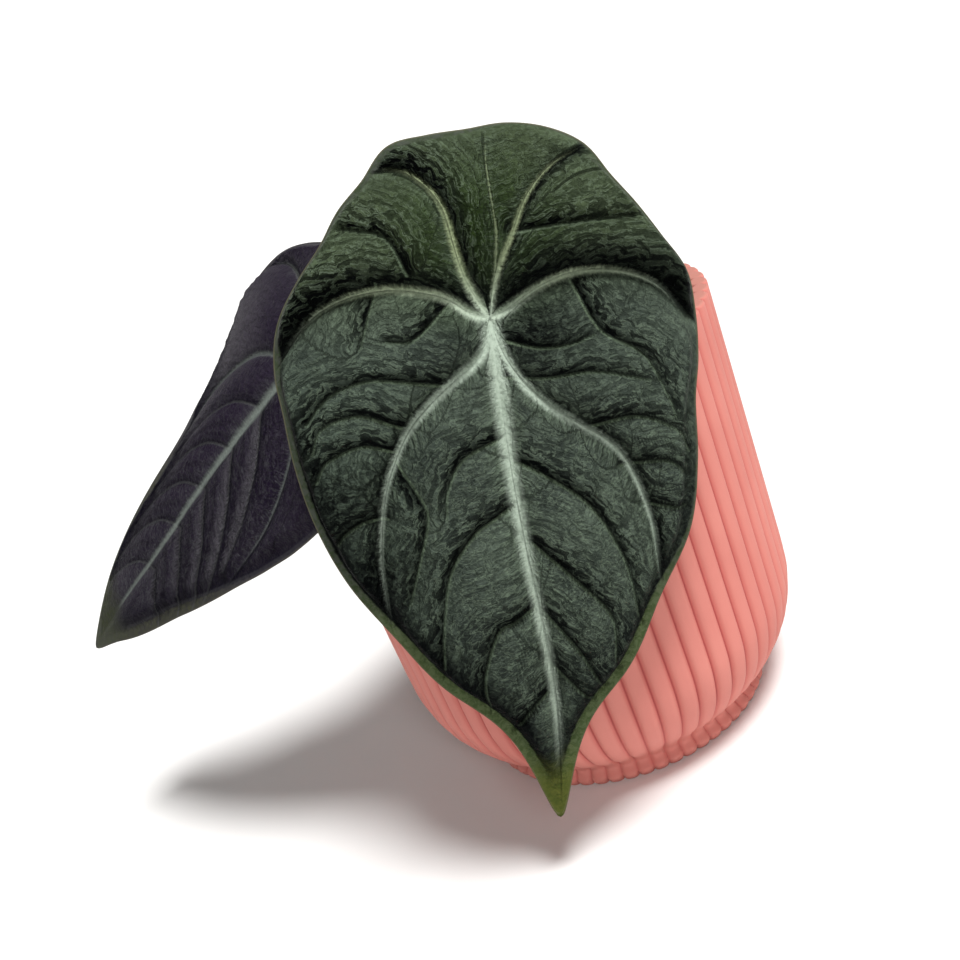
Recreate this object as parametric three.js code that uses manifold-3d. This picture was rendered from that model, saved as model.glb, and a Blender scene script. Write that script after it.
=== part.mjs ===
// A potted maharani alocasia: a ribbed pot, its soil, the plant's crown, and two leaves on stalks.
// Millimetres, +Z up. The origin is the centre of the pot's flat underside.
import * as THREE from 'three';
import { mergeVertices } from 'three/addons/utils/BufferGeometryUtils.js';
import Module from 'manifold-3d';

// The pot: a straight ribbed wall, a rounded lower edge that runs in one curve into a small foot.
// The lower wall is its radius at a few heights, from the foot's underside up.
const POT_HEIGHT = 106;
const RIM_RADIUS = 54;
const BELLY_RADIUS = 52.9;
const BELLY_HEIGHT = 34.5;
const LOWER_WALL = [
  [38, 0], [39.1, 0.8], [39.7, 2.3], [38.3, 4.6], [41, 7.6], [45.7, 12], [50.1, 19], [52.4, 27],
  [BELLY_RADIUS, BELLY_HEIGHT],
];
const LIP_ROUND = 0.8;
const RIBS = 60;
const GROOVE_DEPTH = 1.4;
const WALL = 4.4;
const FLOOR_THICKNESS = 9;
const FLOOR_RADIUS = 31.5;
const FLOOR_CORNER_RADIUS = 41;
const OUTER_FACETS = 3 * RIBS;
const INNER_FACETS = 2 * RIBS;

// The soil, and the clearance between pieces that rest in each other
const SOIL_LEVEL = 90;
const SOIL_DOME = 1.5;
const SOIL_ROUGHNESS = 0.8;
const SOIL_RINGS = [1, 0.75, 0.5, 0.25];
const CLEARANCE = 0.3;

// The crown: the short stem base that stands in the soil
const CROWN_RADIUS = 8;
const CROWN_ROOT = 74;
const CROWN_TOP = 101;
const CROWN_FACETS = 24;

// The stalks: a broad sheath at the foot, and a route from the crown to the back of the blade
const STALK_FOOT_RADIUS = 3.6;
const STALK_TOP_RADIUS = 2;
const SHEATH_SPREAD = 0.3;
const STALK_STEPS = 16;
const STALK_FACETS = 12;

// The blades
const BLADE_THICKNESS = 0.9;
const OUTLINE_STEP = 12;
const RINGS = 14;
const RING_CROWDING = 1.25;
const VEIN_STEPS = 24;
const MARGIN_STEPS = 120;

// The front leaf hangs before the pot and shows its upper face. An outline is its radius about the
// stalk, every 12 degrees from the tip direction round by the x side. A main vein is its angle at
// even steps from the stalk to the margin. A side vein is a few points, x across and y to the tip.
// A swell is the height of the pillow between two main veins, and how far it takes to rise from
// the first and from the second. A rib is how far a main vein stands out under the blade.
const FRONT = {
  stalk: [
    [0, -3.5, 96], [-0.5, -6, 106], [-1, -14, 119], [0, -29, 128], [1.2, -42, 130], [1.6, -50, 129.1],
  ],
  junction: [1.6, -54, 128.8],
  towardsTip: [-0.234, -0.26, -0.937],
  face: [-0.006, -0.963, 0.269],
  bendAcross: 170,
  bendAlong: 320,
  outline: [88, 82.2, 71.5, 64.6, 58, 52, 47.5, 45.7, 43.8, 40.8, 38.5, 38.4, 38.2, 40.4, 39.1, 38.6,
    39.8, 40.4, 40.1, 37.9, 37.9, 39.1, 41.7, 42.2, 43.2, 45.5, 52.4, 61.8, 70, 83.2],
  tipLength: 27.4,
  tipSpread: 2.7,
  tipRound: 1,
  tipAngle: -0.5,
  mainVeins: [
    [0, 0, -1, -2, -2, -0.5],
    [6, 35, 43.5, 40.5, 33, 25],
    [100, 120, 117, 110, 100, 84],
    [150, 154, 161, 164, 158.5, 148],
    [190, 193, 192, 188, 186, 186],
    [191, 196, 202, 204, 209, 216],
    [255, 246, 247, 254, 265, 280],
    [352, 340, 329, 323.5, 328, 335],
  ],
  columns: [16, 14, 9, 6, 4, 9, 14, 16],
  sideVeins: [
    [[11, 12], [19, 10], [25, 9], [31, 10], [35, 12], [39, 16]],
    [[21, 19], [27, 16], [32, 16], [37, 18], [39, 22]],
    [[23, 24], [28, 22], [33, 23], [37, 25], [39, 28]],
    [[27, 38], [31, 38], [35, 40], [37, 42]],
    [[23, 27], [19, 34], [18, 39], [21, 48], [24, 56]],
    [[1, 24], [9, 27], [13, 33], [14, 38]],
    [[0, 38], [4, 40], [9, 43], [15, 51], [18, 63], [19, 71]],
    [[-1, 61], [3, 63], [7, 65], [11, 75], [11, 82]],
    [[-2, 81], [2, 84], [5, 87]],
    [[-1, 29], [-6, 32], [-15, 40], [-21, 53], [-23, 66]],
    [[-3, 47], [-10, 55], [-17, 65], [-17, 75]],
    [[-3, 62], [-9, 71], [-13, 80]],
    [[-3, 74], [-9, 82], [-11, 84]],
    [[-2, 12], [-9, 13], [-19, 13], [-29, 16]],
    [[-17, -5], [-21, 5], [-29, 11], [-33, 20], [-34, 24]],
    [[-17, 24], [-26, 23], [-34, 27], [-37, 32]],
    [[-23, 33], [-31, 33], [-35, 36]],
    [[-27, 42], [-35, 44]],
    [[-7, -16], [-18, -16], [-30, -16]],
    [[15, -11], [18, -18], [26, -21]],
    [[8, -4], [15, 2], [20, 2]],
    [[22, -9], [26, 2]],
    [[-3, 5], [-9, 7], [-15, 7], [-19, 6]],
  ],
  quilt: 3,
  swells: [
    [2.6, 6, 6], [3.6, 3, 9], [5.2, 2.6, 8], [1.8, 6, 5],
    [1.4, 5, 8], [5.4, 5, 2.4], [3.6, 9, 3], [2.6, 6, 6],
  ],
  ribs: [1.1, 0.9, 0.7, 0.7, 0.2, 0.4, 0.7, 0.9],
};

// The side leaf leans out over the pot's left side, narrower and more strongly arched.
const SIDE = {
  stalk: [
    [-3, 4, 96], [-7, 4.5, 104], [-16, 1, 114], [-27, -7, 120.5], [-34.5, -14.5, 124],
    [-38, -19.4, 125.1],
  ],
  junction: [-40.3, -21.5, 127.9],
  towardsTip: [-0.827, 0.201, -0.525],
  face: [-0.55, -0.5, 0.66],
  bendAcross: 120,
  bendAlong: 500,
  outline: [96, 102, 62, 51, 42.5, 39.5, 40, 38.5, 37, 34, 31, 30.5, 31.5, 33, 33.5, 32.5,
    34, 33.5, 33, 32.5, 32.5, 33, 34, 35.5, 38, 41, 45, 50.5, 59.5, 75],
  tipLength: 20,
  tipSpread: 5,
  tipRound: 1,
  tipAngle: 5.5,
  mainVeins: [
    [0, 2.2, 3, 3.2, 4.8, 5.8],
    [8, 42, 48, 43, 34, 21],
    [100, 120, 117, 110, 100, 86],
    [160, 161, 163, 163, 158, 148],
    [180, 180, 180, 180, 180, 180],
    [200, 199, 197, 197, 202, 212],
    [260, 240, 243, 250, 260, 274],
    [352, 318, 312, 317, 326, 339],
  ],
  columns: [10, 11, 7, 4, 4, 7, 11, 10],
  sideVeins: [18, 32, 46, 60, 76].flatMap((start) => [-1, 1].map((hand) => [
    [hand, start], [10 * hand, start + 7], [17 * hand, start + 20], [20 * hand, start + 34],
  ])),
  quilt: 1.2,
  swells: [
    [1.2, 6, 6], [1.6, 3.5, 7], [1.8, 3.5, 8], [1, 6, 6],
    [1, 6, 6], [1.8, 8, 3.5], [1.6, 7, 3.5], [1.2, 6, 6],
  ],
  ribs: [0.9, 0.5, 0.4, 0.3, 0.2, 0.3, 0.4, 0.5],
};

// The blades' relief: how high each form stands or sinks, and how wide it is
const QUILT_REACH = 2.4;
const QUILT_LEAN = 0.8;
const QUILT_START = 2;
const RIM_WIDTH = 2;
const RIM_START = 40;
const HEM_WIDTH = 3.5;
const DIMPLE_DEPTH = 4;
const DIMPLE_PLACE = -5;
const DIMPLE_REACH = 6.5;
const LOBE_DROOP = 4;
const DROOP_START = 0.55;
const WAVE_HEIGHT = 1.1;
const WAVE_COUNT = 5;
const WAVE_PHASE = 0.8;
const RIB_REACH = 1.1;
const RIB_END = 20;

const wasm = await Module();
wasm.setup();

// A closed geometry as a solid that can be cut
function solidOf(geometry) {
  const bare = geometry.clone();
  bare.deleteAttribute('normal');
  bare.deleteAttribute('uv');
  const merged = mergeVertices(bare);
  const vertProperties = new Float32Array(merged.attributes.position.array);
  const triVerts = new Uint32Array(merged.index.array);
  return new wasm.Manifold(new wasm.Mesh({ numProp: 3, vertProperties, triVerts }));
}

// A cut solid as a geometry again
function geometryOf(solid) {
  const mesh = solid.getMesh();
  const geometry = new THREE.BufferGeometry();
  geometry.setAttribute('position', new THREE.Float32BufferAttribute(mesh.vertProperties, 3));
  geometry.setIndex([...mesh.triVerts]);
  return geometry;
}

// A closed skin through a stack of rings with equal numbers of points, capped at both ends
function loft(rings) {
  const count = rings[0].length;
  const points = rings.flat();
  const faces = [];
  for (let ring = 0; ring < rings.length - 1; ring++) {
    for (let i = 0; i < count; i++) {
      const a = ring * count + i;
      const b = ring * count + ((i + 1) % count);
      faces.push(a, b, b + count, a, b + count, a + count);
    }
  }
  [0, rings.length - 1].forEach((ring) => {
    const middle = new THREE.Vector3();
    rings[ring].forEach((point) => middle.addScaledVector(point, 1 / count));
    points.push(middle);
    for (let i = 0; i < count; i++) {
      const pair = [ring * count + i, ring * count + ((i + 1) % count)];
      faces.push(points.length - 1, ...(ring === 0 ? pair.reverse() : pair));
    }
  });
  const geometry = new THREE.BufferGeometry().setFromPoints(points);
  geometry.setIndex(faces);
  return geometry;
}

// A ring about the pot's axis, whose radius is worked out from the angle
function ringAt(height, count, radiusAt) {
  return Array.from({ length: count }, (_, i) => {
    const angle = (2 * Math.PI * i) / count;
    const radius = radiusAt(angle);
    return new THREE.Vector3(radius * Math.cos(angle), radius * Math.sin(angle), height);
  });
}

// How far the surface has sunk from a rib's crest, from 0 there to 1 in the groove
function grooveAt(angle) {
  const place = (angle * RIBS) / (2 * Math.PI);
  return Math.abs(2 * (place - Math.floor(place)) - 1) ** 3;
}

// The outside of the pot's wall as pairs of radius and height, from the foot to the rim
const outsideProfile = [
  ...LOWER_WALL,
  [RIM_RADIUS, POT_HEIGHT - LIP_ROUND],
  [RIM_RADIUS - LIP_ROUND / 2, POT_HEIGHT],
];

// The inside of the wall, from the floor of the pot to the rim
const insideProfile = [
  [FLOOR_RADIUS, FLOOR_THICKNESS],
  [FLOOR_CORNER_RADIUS, FLOOR_THICKNESS + WALL],
  [BELLY_RADIUS - WALL, BELLY_HEIGHT],
  [RIM_RADIUS - WALL, POT_HEIGHT],
];

// The pot: ribbed outside and inside, with each groove behind its opposite groove
function potGeometry() {
  const outside = outsideProfile.map(([radius, height]) => ringAt(height, OUTER_FACETS, (angle) => (
    radius - GROOVE_DEPTH * (radius / RIM_RADIUS) * grooveAt(angle))));
  const aboveMouth = [RIM_RADIUS - WALL, POT_HEIGHT + WALL];
  const hollow = [...insideProfile, aboveMouth];
  const inside = hollow.map(([radius, height]) => ringAt(height, INNER_FACETS, (angle) => (
    radius + GROOVE_DEPTH * grooveAt(angle))));
  return geometryOf(solidOf(loft(outside)).subtract(solidOf(loft(inside))));
}

// A small repeatable unevenness between -1 and 1
function unevenness(x, y) {
  return Math.sin(0.31 * x + 1.3 * Math.sin(0.23 * y)) * Math.cos(0.37 * y + Math.sin(0.29 * x));
}

// The soil: it fills the pot to its level, slightly domed and uneven, with a hole for the crown
function soilGeometry(crown) {
  const below = insideProfile.slice(0, 3).map(([radius, height]) => [
    radius - CLEARANCE, height + CLEARANCE]);
  const slope = (RIM_RADIUS - BELLY_RADIUS) / (POT_HEIGHT - BELLY_HEIGHT);
  const edge = BELLY_RADIUS - WALL - CLEARANCE + slope * (SOIL_LEVEL - BELLY_HEIGHT);
  const rings = below.map(([radius, height]) => ringAt(height, RIBS, () => radius));
  SOIL_RINGS.forEach((part) => {
    const ring = ringAt(SOIL_LEVEL + SOIL_DOME * (1 - part * part), RIBS, () => edge * part);
    ring.forEach((point) => {
      point.z += SOIL_ROUGHNESS * unevenness(point.x, point.y);
    });
    rings.push(ring);
  });
  return geometryOf(solidOf(loft(rings)).subtract(crown));
}

// The crown's outline, let out by a margin where it cuts its neighbours
function crownGeometry(margin) {
  const tall = CROWN_TOP - CROWN_ROOT;
  const profile = [[0.45, 0], [0.8, 0.12], [0.95, 0.4], [1, 0.68], [0.9, 0.84], [0.6, 0.96], [0.3, 1]];
  return loft(profile.map(([part, rise], i) => ringAt(
    CROWN_ROOT + tall * rise + margin * (i === 0 ? -1 : rise),
    CROWN_FACETS,
    (angle) => CROWN_RADIUS * part * (1 + 0.05 * Math.cos(3 * angle + 1)) + margin,
  )));
}

// A stalk along a smooth curve: round and thin at the blade, thick and broader at its sheath
function stalkGeometry(points) {
  const curve = new THREE.CatmullRomCurve3(points.map((point) => new THREE.Vector3(...point)));
  const frames = curve.computeFrenetFrames(STALK_STEPS, false);
  const rings = Array.from({ length: STALK_STEPS + 1 }, (_, i) => {
    const along = i / STALK_STEPS;
    const middle = curve.getPointAt(along);
    const radius = STALK_TOP_RADIUS + (STALK_FOOT_RADIUS - STALK_TOP_RADIUS) * (1 - along) ** 1.5;
    const breadth = radius * (1 + SHEATH_SPREAD * (1 - along) ** 3);
    return Array.from({ length: STALK_FACETS }, (__, k) => {
      const angle = (2 * Math.PI * k) / STALK_FACETS;
      return middle.clone()
        .addScaledVector(frames.normals[i], radius * Math.cos(angle))
        .addScaledVector(frames.binormals[i], breadth * Math.sin(angle));
    });
  });
  return loft(rings);
}

// A smooth curve through evenly spaced values, at a place counted in their steps
function smooth(valueAt, at) {
  const i = Math.floor(at);
  const f = at - i;
  const [a, b, c, d] = [i - 1, i, i + 1, i + 2].map(valueAt);
  return b + 0.5 * f * (c - a + f * (2 * a - 5 * b + 4 * c - d + f * (3 * (b - c) + d - a)));
}

// A main vein's angle at a share of the way from the stalk to the margin
function veinAngle(vein, share) {
  const last = vein.length - 1;
  return smooth((k) => vein[THREE.MathUtils.clamp(k, 0, last)], share * last);
}

// The blade's radius at an angle in degrees: its outline, drawn out in a short blunt tip
function marginAt(leaf, angle) {
  const fromTip = ((angle - leaf.tipAngle + 540) % 360) - 180;
  const bluntly = Math.hypot(fromTip, leaf.tipRound) - leaf.tipRound;
  return smooth((k) => leaf.outline.at(k % leaf.outline.length), angle / OUTLINE_STEP)
    + leaf.tipLength * Math.exp(-bluntly / leaf.tipSpread);
}

// A flat point of the blade at a share of the way from the stalk to the margin
function flatPoint(leaf, share, angle) {
  const radius = share * marginAt(leaf, angle);
  const turn = THREE.MathUtils.degToRad(angle);
  return [radius * Math.sin(turn), radius * Math.cos(turn)];
}

// The distance from a point to a path of straight stretches, and how far the point lies from the
// nearest stretch's line, negative on its right side
function toPath(path, [x, y]) {
  let near = Infinity;
  let signed = 0;
  for (let i = 0; i < path.length - 1; i++) {
    const [ax, ay] = path[i];
    const [dx, dy] = [path[i + 1][0] - ax, path[i + 1][1] - ay];
    const part = ((x - ax) * dx + (y - ay) * dy) / (dx * dx + dy * dy);
    const t = THREE.MathUtils.clamp(part, 0, 1);
    const gap = Math.hypot(x - ax - t * dx, y - ay - t * dy);
    if (gap < near) {
      near = gap;
      signed = (dx * (y - ay) - dy * (x - ax)) / Math.hypot(dx, dy);
    }
  }
  return { near, signed };
}

// How much of the quilt's height a side vein leaves at a point: it rises at once on the side of
// the stalk, and slowly on the side of the tip
function quiltBeside(vein, place) {
  const { near, signed } = toPath(vein, place);
  const above = -Math.sign(vein.at(-1)[0] - vein[0][0]) * signed;
  const lean = above / Math.max(near, 0.01);
  return 1 - Math.exp(-near / (QUILT_REACH - QUILT_LEAN * lean));
}

// The blade at a share of the way out and an angle: its flat point, the height of its upper face,
// and the rib under it. The height is pillows between sunken main veins, smaller ones between the
// side veins, a dimple behind the stalk, lobes that turn back and a waved margin.
function bladeAt(leaf, paths, sector, share, angle) {
  const flat = flatPoint(leaf, share, angle);
  const inward = toPath(paths.margin, flat).near;
  const nears = paths.main.map((path) => toPath(path, flat).near);
  const main = Math.min(...nears);
  const [swell, fromFirst, fromNext] = leaf.swells[sector];
  const pillow = swell * (1 - Math.exp(-nears[sector] / fromFirst))
    * (1 - Math.exp(-nears[(sector + 1) % nears.length] / fromNext));
  const quilt = leaf.sideVeins.reduce(
    (left, vein) => left * quiltBeside(vein, flat),
    leaf.quilt * (1 - Math.exp(-main / QUILT_START)),
  );
  const rim = RIM_WIDTH * THREE.MathUtils.smoothstep(flat[1], 0, RIM_START);
  const hem = THREE.MathUtils.smoothstep(inward, rim, rim + HEM_WIDTH);
  const behind = flat[0] ** 2 + (flat[1] - DIMPLE_PLACE) ** 2;
  const dimple = DIMPLE_DEPTH * Math.exp(-behind / (2 * DIMPLE_REACH ** 2));
  const turn = THREE.MathUtils.degToRad(angle);
  const backward = THREE.MathUtils.smoothstep(-Math.cos(turn), 0, 1);
  const droop = LOBE_DROOP * backward * THREE.MathUtils.smoothstep(share, DROOP_START, 1);
  const wave = WAVE_HEIGHT * share ** 4 * Math.sin(WAVE_COUNT * turn + WAVE_PHASE);
  const rib = leaf.ribs[nears.indexOf(main)] * Math.exp(-((main / RIB_REACH) ** 2))
    * THREE.MathUtils.smoothstep(inward, 0, RIB_END);
  return { flat, height: (pillow + quilt) * hem - dimple - droop + wave, rib };
}

// A blade: columns that follow the main veins, rings that lie closer towards the margin, and two
// faces at two depths below the upper face's height, with the ribs under the lower one
function bladeGeometry(leaf, depths) {
  const spokes = [...leaf.mainVeins, leaf.mainVeins[0].map((angle) => angle + 360)];
  const paths = {
    main: leaf.mainVeins.map((vein) => Array.from({ length: VEIN_STEPS + 1 }, (_, i) => (
      flatPoint(leaf, i / VEIN_STEPS, veinAngle(vein, i / VEIN_STEPS))))),
    margin: Array.from({ length: MARGIN_STEPS + 1 }, (_, i) => (
      flatPoint(leaf, 1, (360 * i) / MARGIN_STEPS))),
  };
  const columns = leaf.columns.flatMap((count, k) => Array.from({ length: count }, (_, i) => (
    { vein: k, part: i / count })));
  const towardsTip = new THREE.Vector3(...leaf.towardsTip).normalize();
  const face = new THREE.Vector3(...leaf.face);
  face.addScaledVector(towardsTip, -face.dot(towardsTip)).normalize();
  const across = new THREE.Vector3().crossVectors(towardsTip, face);
  const bent = ([x, y], height) => {
    const outer = leaf.bendAcross + height;
    const rise = outer * Math.cos(x / leaf.bendAcross) - leaf.bendAcross;
    const reach = leaf.bendAlong + rise;
    return new THREE.Vector3(...leaf.junction)
      .addScaledVector(across, outer * Math.sin(x / leaf.bendAcross))
      .addScaledVector(towardsTip, reach * Math.sin(y / leaf.bendAlong))
      .addScaledVector(face, reach * Math.cos(y / leaf.bendAlong) - leaf.bendAlong);
  };
  const grid = Array.from({ length: RINGS }, (_, ring) => {
    const share = 1 - (1 - (ring + 1) / RINGS) ** RING_CROWDING;
    return columns.map(({ vein, part }) => {
      const [from, to] = [spokes[vein], spokes[vein + 1]].map((spoke) => veinAngle(spoke, share));
      const angle = THREE.MathUtils.lerp(from, to, part);
      return bladeAt(leaf, paths, vein, share, angle);
    });
  });
  const middle = bladeAt(leaf, paths, 0, 0, 0);
  const points = depths.flatMap((depth, side) => [...grid.flat(), middle].map((place) => (
    bent(place.flat, place.height - depth - side * place.rib))));
  const count = columns.length;
  const under = count * RINGS + 1;
  const faces = [];
  for (let i = 0; i < count; i++) {
    const j = (i + 1) % count;
    faces.push(under - 1, j, i, 2 * under - 1, under + i, under + j);
    for (let ring = 0; ring < RINGS - 1; ring++) {
      const [a, b, c, d] = [i, j, j + count, i + count].map((k) => k + ring * count);
      faces.push(a, b, c, a, c, d);
      faces.push(under + a, under + c, under + b, under + a, under + d, under + c);
    }
    const [p, q] = [i, j].map((k) => k + (RINGS - 1) * count);
    faces.push(p, q, under + q, p, under + q, under + p);
  }
  const geometry = new THREE.BufferGeometry().setFromPoints(points);
  geometry.setIndex(faces);
  return geometry;
}

// Materials
const coral = new THREE.MeshStandardMaterial({ color: 0xe0706a, roughness: 0.75 });
const earth = new THREE.MeshStandardMaterial({ color: 0x3b2a20, roughness: 1 });
const sheath = new THREE.MeshStandardMaterial({ color: 0x6f6a45, roughness: 0.6 });
const stalkGreen = new THREE.MeshStandardMaterial({ color: 0x7d8458, roughness: 0.55 });
const greyGreen = new THREE.MeshStandardMaterial({ color: 0x35443a, roughness: 0.6 });
const purpleBlack = new THREE.MeshStandardMaterial({ color: 0x2c2b33, roughness: 0.6 });

const plant = new THREE.Group();

function add(name, geometry, material) {
  geometry.computeVertexNormals();
  const mesh = new THREE.Mesh(geometry, material);
  mesh.name = name;
  plant.add(mesh);
}

// A stalk's foot is cut to sit on the crown, and its top to meet the back of its blade
const crownCutter = solidOf(crownGeometry(CLEARANCE));
function seatedStalk(leaf) {
  const bladeCutter = solidOf(bladeGeometry(leaf, [-STALK_TOP_RADIUS, BLADE_THICKNESS + CLEARANCE]));
  return geometryOf(solidOf(stalkGeometry(leaf.stalk)).subtract(crownCutter).subtract(bladeCutter));
}

add('pot', potGeometry(), coral);
add('soil', soilGeometry(crownCutter), earth);
add('crown', crownGeometry(0), sheath);
add('front_stalk', seatedStalk(FRONT), stalkGreen);
add('side_stalk', seatedStalk(SIDE), stalkGreen);
add('front_blade', bladeGeometry(FRONT, [0, BLADE_THICKNESS]), greyGreen);
add('side_blade', bladeGeometry(SIDE, [0, BLADE_THICKNESS]), purpleBlack);

export default plant;
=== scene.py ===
"""A potted maharani alocasia: the finished surfaces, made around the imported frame.

Sizes are in millimetres and become metres when a mesh is made. The file follows the plant as it is
potted: camera, pot, soil, crown, stalks, front leaf, side leaf, and the studio it is lit in.
"""
from math import radians
from types import SimpleNamespace

import bpy
import numpy as np
from mathutils import Matrix, Vector


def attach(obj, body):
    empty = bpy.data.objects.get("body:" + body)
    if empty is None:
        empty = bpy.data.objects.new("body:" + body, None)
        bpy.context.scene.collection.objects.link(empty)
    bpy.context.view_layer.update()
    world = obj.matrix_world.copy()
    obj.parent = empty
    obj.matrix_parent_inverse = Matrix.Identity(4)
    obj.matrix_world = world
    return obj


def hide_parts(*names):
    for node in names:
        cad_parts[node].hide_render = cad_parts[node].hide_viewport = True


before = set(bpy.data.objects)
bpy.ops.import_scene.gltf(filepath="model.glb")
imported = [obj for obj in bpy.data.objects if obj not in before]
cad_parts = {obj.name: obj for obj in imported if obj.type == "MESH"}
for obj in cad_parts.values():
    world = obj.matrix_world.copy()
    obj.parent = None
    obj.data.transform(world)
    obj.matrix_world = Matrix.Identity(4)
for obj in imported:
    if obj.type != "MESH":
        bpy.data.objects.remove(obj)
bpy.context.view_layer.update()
MM = 0.001


# The camera stands close by and a little above the rim, where the photograph was taken from.
# It is rolled, so that the upright pot leans in the picture as it does in the photograph.
CAMERA_PLACE = (0, -291.2, 195)
CAMERA_DOWN = 22.4
CAMERA_TURN = 3
CAMERA_ROLL = -22.2
FOCAL_LENGTH = 46.1
SENSOR_WIDTH = 36


def set_down(name, thing):
    """A mesh, a lamp or a camera as an object of the scene."""
    piece = bpy.data.objects.new(name, thing)
    bpy.context.scene.collection.objects.link(piece)
    return piece


camera = set_down("camera", bpy.data.cameras.new("camera"))
camera.data.sensor_width = SENSOR_WIDTH
camera.data.lens = FOCAL_LENGTH
camera.matrix_world = (
    Matrix.Translation([MM * part for part in CAMERA_PLACE])
    @ Matrix.Rotation(radians(CAMERA_TURN), 4, "Z")
    @ Matrix.Rotation(radians(90 - CAMERA_DOWN), 4, "X")
    @ Matrix.Rotation(radians(CAMERA_ROLL), 4, "Z")
)
bpy.context.scene.camera = camera


# The pot is one moulded shell of matte coral plastic: a straight wall of round ribs, a rounded
# lower edge, a narrow waist and a small ribbed foot. The ribs run on over the lip and inside.
POT_HEIGHT = 106
RIM_RADIUS = 53.95
BELLY_RADIUS = 52.9
BELLY_HEIGHT = 34.5
LOWER_WALL = [
    (39.1, 0.8), (39.7, 2.3), (38.3, 4.6), (41, 7.6), (45.7, 12), (50.1, 19), (52.4, 27),
    (BELLY_RADIUS, BELLY_HEIGHT),
]
FOOT_RADIUS = 39.1
FOOT_ROUND = 1.1
LIP_ROUND = 0.8
WALL = 4.4
FLOOR_THICKNESS = 9
FLOOR_RADIUS = 31.5
FLOOR_CORNER_RADIUS = 41
RIBS = 60
COLUMNS_PER_RIB = 12
GROOVE_DEPTH = 1.4
HUB = 2
# The body's coral; a darker coral, painted as shade deep in the grooves and also laid in random clouds over
# the wall; and a lighter coral, painted on the rib crests as a highlight.
CORAL = (190, 101, 93)
CORAL_GROOVE_SHADE_AND_CLOUD = (148, 50, 49)
CORAL_CREST_HIGHLIGHT = (200, 123, 112)
# The lip's top is painted a darker, greyer coral, as shade against the overhead light, over a band this
# tall.
CORAL_LIP_SHADE = (176, 116, 104)
LIP_SHADE_BAND = 0.6


def loft(name, rings, first, last, readings=()):
    """A closed skin through a stack of rings: neighbouring rings are joined by quads, and the two
    ends are closed by fans to the points first and last. Readings are values at every point of the
    rings, with one for each end, kept on the mesh as attributes."""
    rows, count = rings.shape[:2]
    points = np.concatenate([rings.reshape(-1, 3), [first], [last]]) * MM
    start = np.arange(rows - 1)[:, None] * count
    here = np.arange(count)[None, :]
    beside = (here + 1) % count
    quads = np.stack([start + here, start + beside, start + beside + count, start + here + count], -1)
    quads = quads.reshape(-1, 4)
    here, beside = here[0], beside[0]
    top = (rows - 1) * count
    fans = np.concatenate([
        np.stack([np.full(count, rows * count), beside, here], -1),
        np.stack([np.full(count, rows * count + 1), top + here, top + beside], -1),
    ])
    mesh = bpy.data.meshes.new(name)
    mesh.vertices.add(len(points))
    mesh.vertices.foreach_set("co", points.ravel())
    mesh.loops.add(quads.size + fans.size)
    mesh.loops.foreach_set("vertex_index", np.concatenate([quads.ravel(), fans.ravel()]))
    mesh.polygons.add(len(quads) + len(fans))
    starts = np.concatenate([
        np.arange(len(quads)) * 4,
        quads.size + np.arange(len(fans)) * 3,
    ])
    mesh.polygons.foreach_set("loop_start", starts)
    mesh.update(calc_edges=True)
    mesh.validate()
    mesh.polygons.foreach_set("use_smooth", np.ones(len(mesh.polygons), bool))
    for label, values, at_first, at_last in readings:
        flat = np.concatenate([values.reshape(rows * count, -1), [at_first], [at_last]], axis=0)
        if flat.shape[1] == 3:
            mesh.attributes.new(label, "FLOAT_VECTOR", "POINT").data.foreach_set("vector", flat.ravel())
        else:
            mesh.attributes.new(label, "FLOAT", "POINT").data.foreach_set("value", flat.ravel())
    return set_down(name, mesh)


class Wire:
    """An output socket in a finish. Sums, products and quotients of wires add Math nodes."""

    def __init__(self, finish, socket):
        self.finish = finish
        self.socket = socket

    def sum_up(self, operation, *values):
        return self.finish.node("ShaderNodeMath", {"operation": operation}, dict(enumerate(values)))

    def __add__(self, other):
        return self.sum_up("ADD", self, other)

    def __radd__(self, other):
        return self.sum_up("ADD", other, self)

    def __sub__(self, other):
        return self.sum_up("SUBTRACT", self, other)

    def __rsub__(self, other):
        return self.sum_up("SUBTRACT", other, self)

    def __mul__(self, other):
        return self.sum_up("MULTIPLY", self, other)

    def __rmul__(self, other):
        return self.sum_up("MULTIPLY", other, self)

    def __truediv__(self, other):
        return self.sum_up("DIVIDE", self, other)

    def __rtruediv__(self, other):
        return self.sum_up("DIVIDE", other, self)

    def __abs__(self):
        return self.sum_up("ABSOLUTE", self)


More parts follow.
